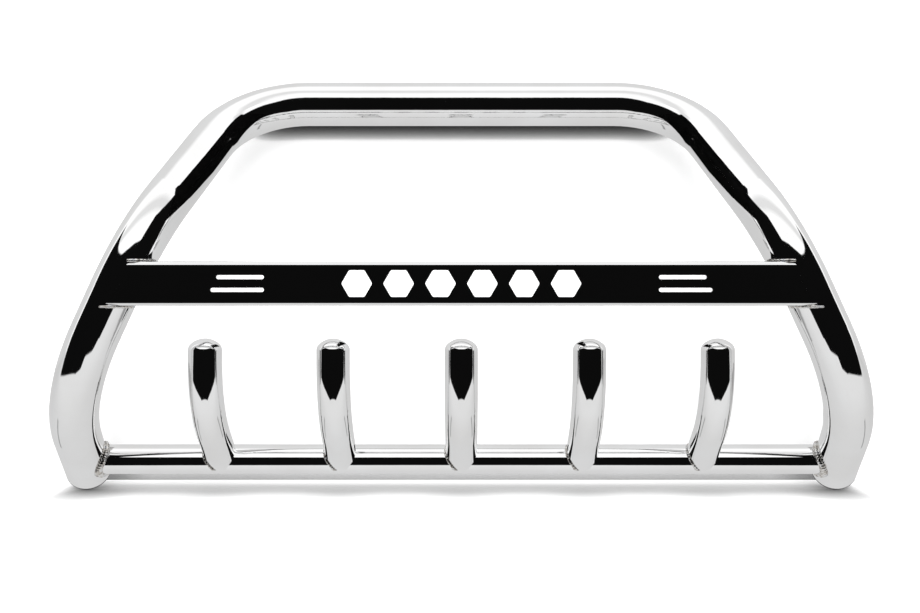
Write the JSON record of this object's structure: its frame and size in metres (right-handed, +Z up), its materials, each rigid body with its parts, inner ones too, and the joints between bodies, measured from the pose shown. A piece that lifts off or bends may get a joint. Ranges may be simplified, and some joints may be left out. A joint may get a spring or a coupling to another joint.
{
  "type": "front grille guard",
  "caption": "Welded bright tube guard for a car front: bent hoop, channel plate across it, lower cross tube with bent teeth, capped ends and chassis lugs.",
  "frame": {"origin": "bottom centre of the whole guard's bounding box, on the middle plane, below the open ends of the hoop", "axes": "+X across the car along the cross tube, -Y forward away from the car, +Z up"},
  "size_m": [1.0938, 0.2567, 0.5674],
  "materials": {
    "polished_tube": "mirror-polished stainless tube",
    "polished_sheet": "mirror-polished stainless sheet",
    "weld_bead": "bright rippled stainless weld",
    "lug_steel": "brushed stainless plate",
    "black_plastic": "matte black plastic"
  },
  "bodies": {
    "root": {"channel_plate": "polished_sheet", "cross_tube_weld_left": "weld_bead", "cross_tube_weld_right": "weld_bead", "hoop_tube": "polished_tube", "leg_end_plug_left": "black_plastic", "leg_end_plug_right": "black_plastic", "lower_cross_tube": "polished_tube", "lug_weld_left": "weld_bead", "lug_weld_right": "weld_bead", "mounting_lug_left": "lug_steel", "mounting_lug_right": "lug_steel", "plate_weld_left": "weld_bead", "plate_weld_right": "weld_bead", "tooth_cap_1": "polished_tube", "tooth_cap_2": "polished_tube", "tooth_cap_3": "polished_tube", "tooth_cap_4": "polished_tube", "tooth_cap_5": "polished_tube", "tooth_tube_1": "polished_tube", "tooth_tube_2": "polished_tube", "tooth_tube_3": "polished_tube", "tooth_tube_4": "polished_tube", "tooth_tube_5": "polished_tube", "tooth_weld_1": "weld_bead", "tooth_weld_2": "weld_bead", "tooth_weld_3": "weld_bead", "tooth_weld_4": "weld_bead", "tooth_weld_5": "weld_bead"}
  },
  "joints": []
}
